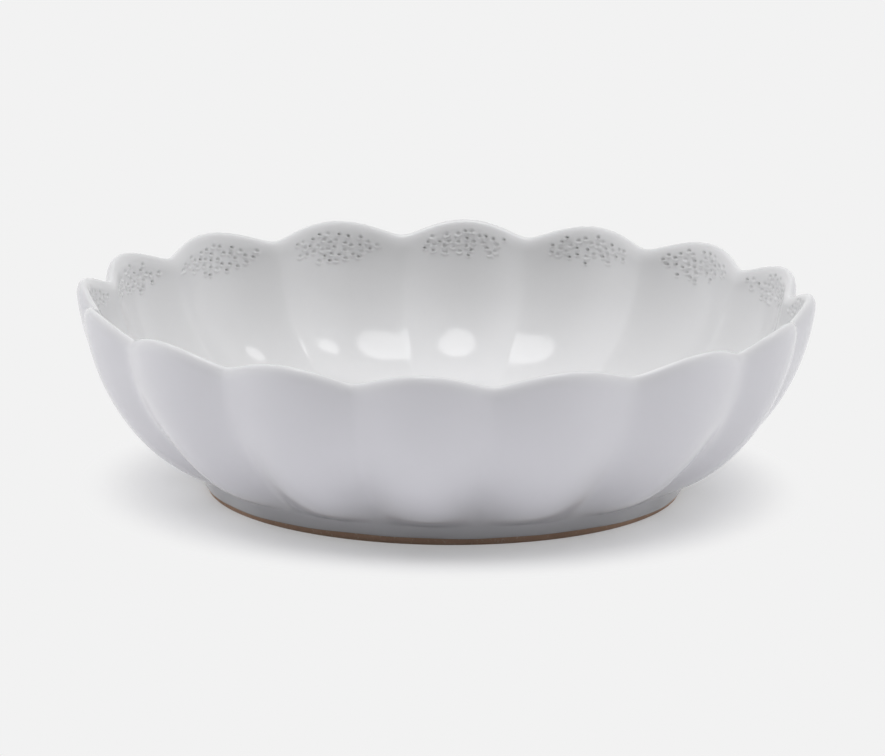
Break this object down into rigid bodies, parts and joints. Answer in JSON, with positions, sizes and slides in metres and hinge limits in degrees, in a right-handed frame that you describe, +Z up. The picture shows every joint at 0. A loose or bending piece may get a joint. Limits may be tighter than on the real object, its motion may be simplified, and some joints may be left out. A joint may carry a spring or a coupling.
{
  "type": "serving bowl",
  "caption": "Round scalloped stoneware bowl with convex petals, matching flutes inside, a soft glazed lip with pricked patches under it and a plain foot ring, for serving fruit or food.",
  "frame": {"origin": "centre of the foot ring's standing face, on the table", "axes": "+Z up along the bowl's axis, +X through the middle of a petal"},
  "size_m": [0.25, 0.25, 0.0676],
  "materials": {
    "stoneware": "bare fired clay, matt",
    "white_glaze": "glossy, faintly cool white"
  },
  "bodies": {
    "root": {"clay_bowl": "stoneware", "foot_ring": "stoneware", "glaze_coat": "white_glaze", "base_glaze": "white_glaze"}
  },
  "joints": []
}
